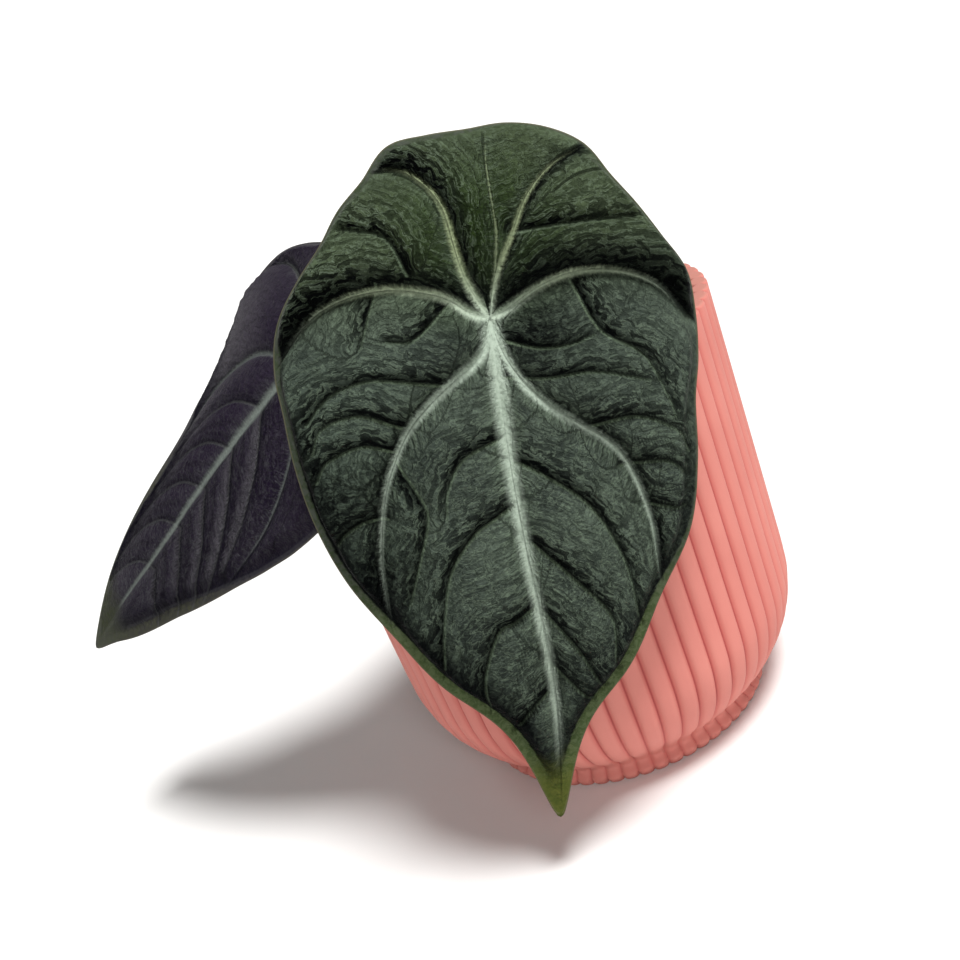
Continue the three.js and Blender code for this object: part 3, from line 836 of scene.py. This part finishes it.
def follow_main_veins(leaf, grid, marks):
    """Marks every point with the nearest main vein, with the creases beside the main veins and the
    painted shade in their folds. Gives the height of the pillows that swell between them."""
    pillow = np.array(leaf["swells"])[grid.sector, 0] + 0 * grid.x
    for k, spoke in enumerate(grid.spokes):
        path = np.stack(flat_point(leaf, np.linspace(0, 1, VEIN_STEPS + 1), spoke), -1)
        near, _, way = to_path(grid.x, grid.y, path)
        rounded = near * near / (near + VEIN_BED)
        along = way + VEINS_APART * k
        for beside, side in [(k, 0), ((k - 1) % len(grid.spokes), 1)]:
            here = grid.sector == beside
            reach = leaf["swells"][beside][side + 1]
            pillow = np.where(here, pillow * (1 - np.exp(-rounded / reach)), pillow)
            # Painted shade in the fold beside this vein: how broad it is, and how dark.
            breadth = leaf["shades"][beside][side]
            here = here & (breadth > 0)
            fold = np.exp(-(near / (breadth + TINY)) ** 2)
            marks["fold"] = np.where(here, np.maximum(marks["fold"], fold), marks["fold"])
            weight = np.where(here, np.exp(-near / (1.2 * breadth + TINY)), 0)
            take_strongest(marks, weight, near, along)
        gone = way / np.hypot(*path[-1])
        half = leaf["vein_widths"][k] / 2 * (1 - VEIN_TAPER * gone)
        pale = leaf["vein_tones"][k] * (1 - VEIN_FADE * gone ** 1.5)
        take_nearest(marks, "main", "main_lead", near, half=half, pale=pale, along=along)
    return pillow


def follow_side_veins(leaf, grid, marks):
    """Marks every point with the nearest side vein and the crease above it. Gives the height of the
    smaller pillows between the side veins, which are steeper on the upper side of a vein."""
    main = marks["main"]
    quilt = leaf["quilt"] * (1 - np.exp(-main * main / (main + VEIN_BED) / 2))
    for k, vein in enumerate(leaf["side_veins"]):
        path = smooth(vein, np.linspace(0, len(vein) - 1, 6 * len(vein)))
        near, signed, way = to_path(grid.x, grid.y, path)
        above = -np.sign(vein[-1][0] - vein[0][0]) * signed
        lean = above / np.maximum(near, TINY)
        quilt = quilt * (1 - np.exp(-near / (QUILT_REACH - QUILT_LEAN * lean)))
        fade = 1 - way / np.linalg.norm(np.diff(path, axis=0), axis=1).sum()
        along = way + VEINS_APART * (k + SIDE_VEIN_START)
        weight = ease(above, -0.8, 0.8) * np.clip(lean + 0.3, 0, 1) * ease(main, 0, 1.5)
        take_strongest(marks, weight * np.exp(-near / SIDE_SHADE) * (0.5 + 0.5 * fade), near, along)
        take_nearest(
            marks, "side_near", "side_lead", near, side_above=above, side_along=along, side_fade=fade,
        )
    return quilt


def leaf_relief(grid, marks, swell):
    """The height of the skin over the flat sheet. Above, it is the pillows, less a dimple behind the
    stalk and the lobes' droop, with a waved margin. Below, it is that less the blade's thickness
    and the ribs under the main veins."""
    main = marks["main"]
    rim = RIM_WIDTH * ease(grid.y, 0, 40)
    hem = ease(grid.inward, rim, rim + HEM_WIDTH)
    from_dimple = grid.x ** 2 + (grid.y - DIMPLE_PLACE) ** 2
    dimple = DIMPLE_DEPTH * np.exp(-from_dimple / (2 * DIMPLE_REACH ** 2))
    turn = np.radians(grid.angle)
    droop = LOBE_DROOP * ease(-np.cos(turn), 0, 1) * ease(grid.share, DROOP_START, 1)
    wave = WAVE_HEIGHT * grid.share ** 4 * np.sin(WAVE_COUNT * turn + WAVE_PHASE)
    pucker = PUCKER_HEIGHT * crumbs(grid.x, grid.y, PUCKER_SIZE, 21) * (1 - np.exp(-main / 3))
    height = (swell + pucker) * hem - dimple - droop + wave
    thick = MARGIN_THICKNESS + (BLADE_THICKNESS - MARGIN_THICKNESS) * ease(grid.inward, 0, 4)
    keel = KEEL_HEIGHT * marks["pale"] * np.exp(-(main / KEEL_REACH) ** 2) * ease(grid.inward, 0, 20)
    return height - grid.under * (thick + keel)


def bend_sheet(leaf, x, y, height):
    """Points over the flat sheet, once it is bent across and along and hung on its stalk."""
    towards_tip = np.array(leaf["towards_tip"]) / np.linalg.norm(leaf["towards_tip"])
    face = np.array(leaf["face"]) - np.dot(leaf["face"], towards_tip) * towards_tip
    face /= np.linalg.norm(face)
    across = np.cross(towards_tip, face)
    outer = leaf["bend_across"] + height
    rise = outer * np.cos(x / leaf["bend_across"]) - leaf["bend_across"]
    reach = leaf["bend_along"] + rise
    return (
        np.array(leaf["junction"])
        + (outer * np.sin(x / leaf["bend_across"]))[..., None] * across
        + (reach * np.sin(y / leaf["bend_along"]))[..., None] * towards_tip
        + (reach * np.cos(y / leaf["bend_along"]) - leaf["bend_along"])[..., None] * face
    )


def blade_skin(name, leaf):
    """The blade as one closed skin, with the readings that its finish needs."""
    grid = blade_grid(leaf)
    marks = {label: 0 * grid.x for label in LEAF_READINGS}
    for label in ("main", "main_lead", "side_near", "side_lead"):
        marks[label] = marks[label] + np.inf
    marks["crease_off"] = marks["crease_off"] + FAR
    pillow = follow_main_veins(leaf, grid, marks)
    quilt = follow_side_veins(leaf, grid, marks)
    # Glooms: dark clouds, most of them painted shade about the stalk's point and in the margin's folds.
    for x, y, size, depth in leaf["glooms"]:
        cloud = depth * np.exp(-((grid.x - x) ** 2 + (grid.y - y) ** 2) / size ** 2)
        marks["gloom"] = np.maximum(marks["gloom"], cloud)
    height = leaf_relief(grid, marks, pillow + quilt)
    marks["main_lead"] = marks["main_lead"] - marks["main"]
    marks["side_lead"] = marks["side_lead"] - marks["side_near"]
    marks["inward"] = grid.inward
    marks["upper"] = 1.0 - grid.under + 0 * grid.x

    dip = DIMPLE_DEPTH * np.exp(-DIMPLE_PLACE ** 2 / (2 * DIMPLE_REACH ** 2))
    first, last = bend_sheet(leaf, np.zeros(2), np.zeros(2), np.array([-dip, -dip - BLADE_THICKNESS]))
    at_first = {
        "half": leaf["vein_widths"][0] / 2, "pale": 1, "crease_off": FAR, "side_near": FAR,
        "side_above": FAR, "inward": 50, "upper": 1,
    }
    at_last = {**at_first, "half": 1, "upper": 0}
    readings = [("flat", np.stack([grid.x, grid.y, 0 * grid.x], -1), [0, 0, 0], [0, 0, 0])]
    for label in LEAF_READINGS:
        readings.append((label, marks[label], [at_first.get(label, 0)], [at_last.get(label, 0)]))
    return loft(name, bend_sheet(leaf, grid.x, grid.y, height), first, last, readings)


def leaf_places(leaf, calm):
    """What a leaf's finish knows at each point: the mesh's readings, noises over the flat sheet,
    and which part of the leaf it is. Depth is how sharply the skin is creased: 1, less what calm
    takes off, most of it on the x side."""
    at = SimpleNamespace(calm=calm, flat=leaf.reading("flat", "Vector"))
    for label in LEAF_READINGS:
        setattr(at, label, leaf.reading(label))
    at.slow = leaf.noise(at.flat, 0.06, 3)
    at.mottle = leaf.noise(at.flat, 0.5, 4, 0.6)
    at.drift = leaf.noise(at.flat, 0.3, 2)
    at.beads = leaf.step(leaf.noise(at.flat, 1.3, 3, 0.6), 0.3, 0.7)
    at.grain = leaf.step(leaf.noise(at.flat, 0.7, 4, 0.6, 1.2), 0.34, 0.64)
    at.across = leaf.node("ShaderNodeSeparateXYZ", inputs={"Vector": at.flat}, output="X")
    at.height = leaf.node("ShaderNodeSeparateXYZ", inputs={"Vector": at.flat}, output="Y")
    at.left = leaf.step(at.across, -5, 5)
    at.lobe = leaf.step(at.height, 4, -16)
    at.lower = leaf.step(at.height, 0, 50)
    at.low = leaf.step(at.height, 40, 78)
    at.body = 1 - leaf.step(at.height, 84, 98)
    at.depth = 1 - calm * (0.4 + 0.6 * at.left)
    return at


def leaf_veins(leaf, at):
    """Where the main veins show, with edges that fray into hairs, the pale halo beside them, the
    star at the stalk's point, and the thin side veins, which fade towards their ends."""
    fray = leaf.noise(leaf.vector(at.along * 1.6, at.main * 0.45 + at.drift * 3), 1, 2, 0.6) - 0.5
    side_fray = leaf.noise(leaf.vector(at.side_along * 2, at.side_near * 0.5), 1, 2, 0.6) - 0.5
    at.pale = at.pale * (1 - 0.5 * leaf.step(at.across, 8, 20) * leaf.step(at.height, 20, 50))
    at.vein = 1 - leaf.step(at.main + fray * 0.9, at.half * 0.25, at.half * 1.4)
    at.vein = at.vein * leaf.step(at.inward, 1, 9) * (1 - leaf.step(at.height, 94, 105))
    at.halo = 1 - leaf.step(at.main + fray * 4, at.half * 0.8, at.half + 3)
    beside = 1 - leaf.step(abs(at.side_above + 0.25) + side_fray * 0.3, 0.1, 0.5)
    at.thin = beside * (1 - leaf.step(at.side_near, 0.8, 1.2)) * (0.35 + 0.65 * at.side_fade)
    from_stalk = leaf.node("ShaderNodeVectorMath", {"operation": "LENGTH"}, {0: at.flat}, "Value")
    at.star = (1 - leaf.step(from_stalk, 1, 7)) * (1 - leaf.step(at.main + fray * 3, 0.6, 2.6))
    at.star = at.star * leaf.step(at.height, 0, 2.5)


def leaf_wrinkles(leaf, at):
    """The leathery wrinkles: folds along the creases, their crests for the painted highlights, fine
    hairs that leave the main veins, a net of cells, and painted shade on the upper side of each vein."""
    at.crease = at.crease * at.depth * at.body
    at.crease = at.crease * (1 + at.left * (1 - leaf.step(at.inward, 4, 16)) * 0.7)
    run = leaf.vector(at.crease_along * 0.35 + at.drift * 2, at.crease_off + at.drift * 3)
    billow = leaf.noise(run, 1, 3, 0.55)
    at.folds = leaf.step(billow, 0.38, 0.58)
    at.crest = 1 - leaf.step(abs(billow - 0.54), 0.0, 0.04)
    hairs = leaf.noise(leaf.vector(at.along * 1.1 + at.drift * 3, at.main * 0.25), 1, 2, 0.5)
    at.hairs = (1 - leaf.step(abs(hairs - 0.5), 0.0, 0.04)) * leaf.step(at.main_lead, 0.4, 2)
    mesh = leaf.vector(at.side_along * 0.55 + at.drift * 4, at.side_near * 0.3 + at.mottle)
    at.cell = leaf.node(
        "ShaderNodeTexVoronoi", {"voronoi_dimensions": "2D", "feature": "DISTANCE_TO_EDGE"},
        {"Vector": mesh, "Scale": 1}, "Distance",
    )
    at.settled = leaf.step(at.side_lead, 0.3, 1)
    at.net = (1 - leaf.step(at.cell, 0.01, 0.08)) * at.settled * leaf.step(at.drift, 0.35, 0.6)
    # Painted shade in the fold on the upper side of each side vein, joined to that of the main veins.
    spread = at.side_near / (0.6 + 1.2 * at.calm + 1.4 * at.side_fade)
    side_fold_shade = leaf.node("ShaderNodeMath", {"operation": "EXPONENT"}, {0: spread * spread * -1})
    side_fold_shade = side_fold_shade * leaf.step(at.side_above, -0.1, 0.3) * (0.4 + 0.6 * at.side_fade)
    deepest = leaf.node("ShaderNodeMath", {"operation": "MAXIMUM"}, {0: at.fold, 1: side_fold_shade})
    at.fold = deepest * at.depth * at.body


def panel_tones(leaf, at, tones):
    """The ground between the veins: dark, lighter in the panels, olive on the lobes, painted shade in
    dark olive in the valley behind the stalk, a painted sheen on the x side, and painted light just
    below each side vein of a calm leaf."""
    # The valley behind the stalk's point, which is painted with shade in dark olive.
    valley = 1 - leaf.step(leaf.node(
        "ShaderNodeVectorMath", {"operation": "DISTANCE"}, {0: at.flat, 1: (0, -15, 0)}, "Value",
    ), 4, 24)
    # Painted sheen: the x side of the blade made lighter, where it turns to the light.
    sheen = leaf.step(at.across, 8, 32) * leaf.step(at.height, -10, 25) * 0.7
    # Painted light just below each side vein of a calm leaf, on the side away from x.
    lit = 1 - leaf.step(at.side_near, 0.5, 5)
    lit = lit * (1 - leaf.step(at.side_above, -0.3, 0.3)) * (1 - at.left)
    leaf.tone = leaf.blend(leaf.step(at.slow, 0.3, 0.62), tones.ground, tones.panel)
    leaf.coat(at.lobe * 0.6, tones.lobe)
    leaf.coat(valley * 0.85, tones.valley)
    leaf.coat(sheen, tones.sheen)
    leaf.coat(lit * (0.75 * at.calm), tones.sheen)


def wrinkle_tones(leaf, at, tones):
    """Painted shade in the grain's pits and in the wrinkles' folds, darker lower down and under the
    glooms, pale on the net, the hairs and the halo, and a painted highlight on the crests.
    """
    rough = 1 - at.grain
    # Painted shade in the grain's pits, and a darker tone lower down.
    leaf.coat(rough * 0.29 * at.depth + at.low * 0.22, tones.deep)
    leaf.coat(at.net * (0.12 + 0.32 * at.lower) * at.depth, tones.hair)
    leaf.coat(at.hairs * (0.12 + 0.3 * at.lower + 0.3 * at.halo), tones.hair)
    leaf.coat(at.halo * at.pale * 0.3, tones.hair)
    # Painted shade in the wrinkles' folds.
    wrinkle_fold_shade = (1 - at.folds) * (0.2 * at.depth + at.crease) + at.crease * 0.26
    leaf.coat(wrinkle_fold_shade, tones.deep)
    # Painted highlight on the wrinkles' crests.
    leaf.coat(at.crest * (0.22 * at.depth + 0.75 * at.crease), tones.hair)
    # Darker under the glooms: painted shade for the most part.
    leaf.coat(at.gloom * (0.6 + 0.5 * rough), tones.deep)


def margin_tones(leaf, at, tones):
    """Painted shade in the trough inside the margin and in the folds beside the veins, then the margin
    itself, greener towards the tip and mottled in dark olive, and a painted highlight on its very edge."""
    rough = 1 - at.grain
    at.breadth = 0.5 + 1.1 * at.left + (2.2 - 1.1 * at.left) * at.low
    reach = at.breadth + 1.6 + 4.5 * at.lower + 3.5 * at.left * leaf.step(at.height, 5, 25)
    # Painted shade in the trough inside the margin, most of it on the lower blade and on the x side.
    margin_hollow_shade = 1 - leaf.step(at.inward, at.breadth + 0.3, reach)
    side = at.left * leaf.step(at.height, -6, 12)
    margin_hollow_shade = margin_hollow_shade * (at.lower * 0.8 + side * (1 - 0.65 * at.lower))
    leaf.coat(margin_hollow_shade * (0.95 + 0.3 * rough), tones.deep)
    # Painted shade in the folds beside the veins.
    leaf.coat(at.fold * 0.98, tones.deep)
    wavy = at.inward + (at.mottle - 0.5) * 1.2
    edge = 1 - leaf.step(wavy, at.breadth - 0.3, at.breadth + 0.3)
    rim = leaf.blend(leaf.step(at.height, 45, 72), tones.lobe_margin, tones.margin)
    rim = leaf.blend(rough * 0.6, rim, tones.valley)
    leaf.coat(edge * (0.7 + 0.4 * at.mottle), rim)
    tip = leaf.blend(rough * 0.45, tones.tip, tones.valley)
    leaf.coat(leaf.step(at.height + (at.mottle - 0.5) * 8, 94, 108), tip)
    # Painted highlight along the very edge.
    leaf.coat((1 - leaf.step(at.inward, 0.1, 0.4)) * 0.6, tones.brim)


def vein_tones(leaf, at, tones):
    """The thin side veins, the pale line inside a calm leaf's margin, and the main veins, whose
    pith is beaded with light."""
    leaf.coat(at.thin * 0.85, tones.side_vein)
    seam = 1 - leaf.step(abs(at.inward - at.breadth - 0.4), 0.1, 0.6)
    leaf.coat(seam * (1 - at.depth) * (1 - at.left), tones.hair)
    pith = leaf.blend(at.lobe, tones.vein, tones.lobe_vein)
    shown = at.vein * (0.1 + 0.9 * at.pale) * (0.75 + 0.45 * at.beads)
    leaf.coat(shown, pith)
    leaf.coat(at.star, tones.vein)


def under_tones(leaf, at, tones):
    """The underside: a plain mottled ground with its own pale veins."""
    ground = leaf.blend(leaf.step(at.mottle, 0.3, 0.7), tones.under, tones.under_mottle)
    ground = leaf.blend(at.vein * 0.8, ground, tones.under_vein)
    return leaf.blend(at.thin * 0.5, ground, tones.under_vein)


def leaf_finish(name, piece, colours, calm):
    """The leaf's skin, in its colours. Calm says how much smoother it is than the front leaf's."""
    leaf = Finish(name)
    tones = SimpleNamespace(**{part: paint(colour) for part, colour in colours.items()})
    at = leaf_places(leaf, calm)
    leaf_veins(leaf, at)
    leaf_wrinkles(leaf, at)
    panel_tones(leaf, at, tones)
    wrinkle_tones(leaf, at, tones)
    margin_tones(leaf, at, tones)
    vein_tones(leaf, at, tones)
    relief = at.folds * (0.2 * at.depth + at.crease) + at.grain * 0.3 * at.depth + at.beads * 0.06
    relief = relief + leaf.step(at.cell, 0, 0.25) * at.settled * 0.12 - at.hairs * 0.04
    relief = relief * leaf.step(at.inward, 0.5, 4) * (1 - 0.85 * at.vein)
    leaf.dress(
        piece,
        base_color=leaf.blend(at.upper, under_tones(leaf, at, tones), leaf.tone),
        roughness=0.46 + 0.14 * at.mottle + 0.08 * at.vein,
        specular_ior_level=0.02,
        normal=leaf.bump(relief, 1),
    )


front_leaf = blade_skin("front_leaf_blade", FRONT)
leaf_finish("front leaf skin", front_leaf, {
    "ground": (52, 59, 54),
    "panel": (74, 84, 74),
    "sheen": (78, 90, 79),
    "lobe": (70, 83, 52),
    "deep": (5, 7, 7),
    "valley": (38, 54, 18),
    "hair": (104, 118, 100),
    "vein": (158, 171, 156),
    "lobe_vein": (146, 158, 122),
    "side_vein": (90, 104, 84),
    "margin": (77, 88, 60),
    "lobe_margin": (66, 70, 63),
    "brim": (96, 92, 72),
    "tip": (76, 81, 36),
    "under": (112, 128, 98),
    "under_mottle": (98, 116, 86),
    "under_vein": (150, 164, 124),
}, 0)
stand(front_leaf, "front_leaf", "front_blade")


# The side leaf leans out over the pot's left side. It is the younger leaf: narrower, more strongly
# arched, smoother, and dark purple with a pale grey-green midrib.
SIDE = {
    "junction": (-40.3, -21.5, 127.9),
    "towards_tip": (-0.827, 0.201, -0.525),
    "face": (-0.55, -0.5, 0.66),
    "bend_across": 120,
    "bend_along": 500,
    "outline": [96, 102, 62, 51, 42.5, 39.5, 40, 38.5, 37, 34, 31, 30.5, 31.5, 33, 33.5, 32.5,
                34, 33.5, 33, 32.5, 32.5, 33, 34, 35.5, 38, 41, 45, 50.5, 59.5, 75],
    "tip_length": 20,
    "tip_spread": 5,
    "tip_round": 1,
    "tip_angle": 5.5,
    "main_veins": [
        [0, 2.2, 3, 3.2, 4.8, 5.8],
        [8, 42, 48, 43, 34, 21],
        [100, 120, 117, 110, 100, 86],
        [160, 161, 163, 163, 158, 148],
        [180, 180, 180, 180, 180, 180],
        [200, 199, 197, 197, 202, 212],
        [260, 240, 243, 250, 260, 274],
        [352, 318, 312, 317, 326, 339],
    ],
    "columns": [10, 11, 7, 4, 4, 7, 11, 10],
    "side_veins": [
        [(way, start), (10 * way, start + 7), (17 * way, start + 20), (20 * way, start + 34)]
        for start in (18, 32, 46, 60, 76) for way in (-1, 1)
    ],
    "quilt": 1.2,
    "swells": [(1.2, 6, 6), (1.6, 3.5, 7), (1.8, 3.5, 8), (1, 6, 6),
               (1, 6, 6), (1.8, 8, 3.5), (1.6, 7, 3.5), (1.2, 6, 6)],
    "shades": [(0, 0), (1.2, 0), (2, 0), (0, 0), (0, 0), (0, 2), (0, 1.2), (0, 0)],
    "glooms": [],
    "vein_widths": [3.2, 1.8, 1.8, 1.2, 0.8, 1.2, 1.5, 1.6],
    "vein_tones": [0.7, 0.3, 0.35, 0.3, 0.15, 0.3, 0.3, 0.25],
}
side_leaf = blade_skin("side_leaf_blade", SIDE)
leaf_finish("side leaf skin", side_leaf, {
    "ground": (26, 18, 34),
    "panel": (37, 31, 43),
    "sheen": (90, 88, 91),
    "lobe": (38, 34, 42),
    "deep": (12, 9, 20),
    "valley": (42, 40, 46),
    "hair": (70, 71, 72),
    "vein": (108, 116, 109),
    "lobe_vein": (96, 98, 92),
    "side_vein": (68, 69, 70),
    "margin": (56, 57, 44),
    "lobe_margin": (56, 54, 56),
    "brim": (70, 68, 60),
    "tip": (50, 54, 37),
    "under": (84, 76, 78),
    "under_mottle": (72, 66, 70),
    "under_vein": (128, 132, 108),
}, 0.6)
stand(side_leaf, "side_leaf", "side_blade")


# The studio is a pale sweep, flat under the pot and curved up all round it, with one large soft
# light above and a weaker one before it.
SWEEP_FLAT = 1400
SWEEP_BEND = 600
SWEEP_HEIGHT = 640
SWEEP_COLUMNS = 96
SWEEP_COLOUR = (226, 225, 223)


def sweep_skin():
    """A flat disc whose rim curves up into an upright wall, as one open sheet."""
    turn = np.arange(SWEEP_COLUMNS) / SWEEP_COLUMNS * 2 * np.pi
    profile = np.concatenate([
        line((1, 0), (SWEEP_FLAT, 0), 8),
        arc((SWEEP_FLAT, SWEEP_BEND), SWEEP_BEND, -90, 0, 24),
        [(SWEEP_FLAT + SWEEP_BEND, SWEEP_HEIGHT)],
    ])
    points = np.stack([
        profile[:, :1] * np.cos(turn), profile[:, :1] * np.sin(turn), profile[:, 1:] + 0 * turn,
    ], -1) * MM
    rows = (np.arange(len(profile) - 1) * SWEEP_COLUMNS)[:, None]
    here = np.arange(SWEEP_COLUMNS)[None, :]
    beside = (here + 1) % SWEEP_COLUMNS
    outer = rows + SWEEP_COLUMNS
    quads = np.stack([rows + here, outer + here, outer + beside, rows + beside], -1)
    middle = here[0].tolist()
    mesh = bpy.data.meshes.new("studio_sweep")
    mesh.from_pydata(points.reshape(-1, 3).tolist(), [], quads.reshape(-1, 4).tolist() + [middle])
    mesh.polygons.foreach_set("use_smooth", np.ones(len(mesh.polygons), bool))
    return set_down("studio_sweep", mesh)


def soft_light(name, towards, spread, strength):
    """Light from far off in one direction, as wide in the sky as spread degrees."""
    lamp = bpy.data.lights.new(name, "SUN")
    lamp.angle = radians(spread)
    lamp.energy = strength
    light = set_down(name, lamp)
    light.rotation_euler = Vector(towards).to_track_quat("Z", "Y").to_euler()


sweep = sweep_skin()
paper = Finish("pale paper sweep")
paper.dress(sweep, base_color=paint(SWEEP_COLOUR), roughness=0.9)

soft_light("overhead light", (0.25, -0.26, 0.92), 18, 4.6)
soft_light("front light", (0.15, -0.85, 0.5), 20, 0.95)

world = bpy.data.worlds.new("studio air")
world.use_nodes = True
world.node_tree.nodes["Background"].inputs["Color"].default_value = (1, 1, 1, 1)
world.node_tree.nodes["Background"].inputs["Strength"].default_value = 0.1
bpy.context.scene.world = world
bpy.context.scene.view_settings.view_transform = "Standard"
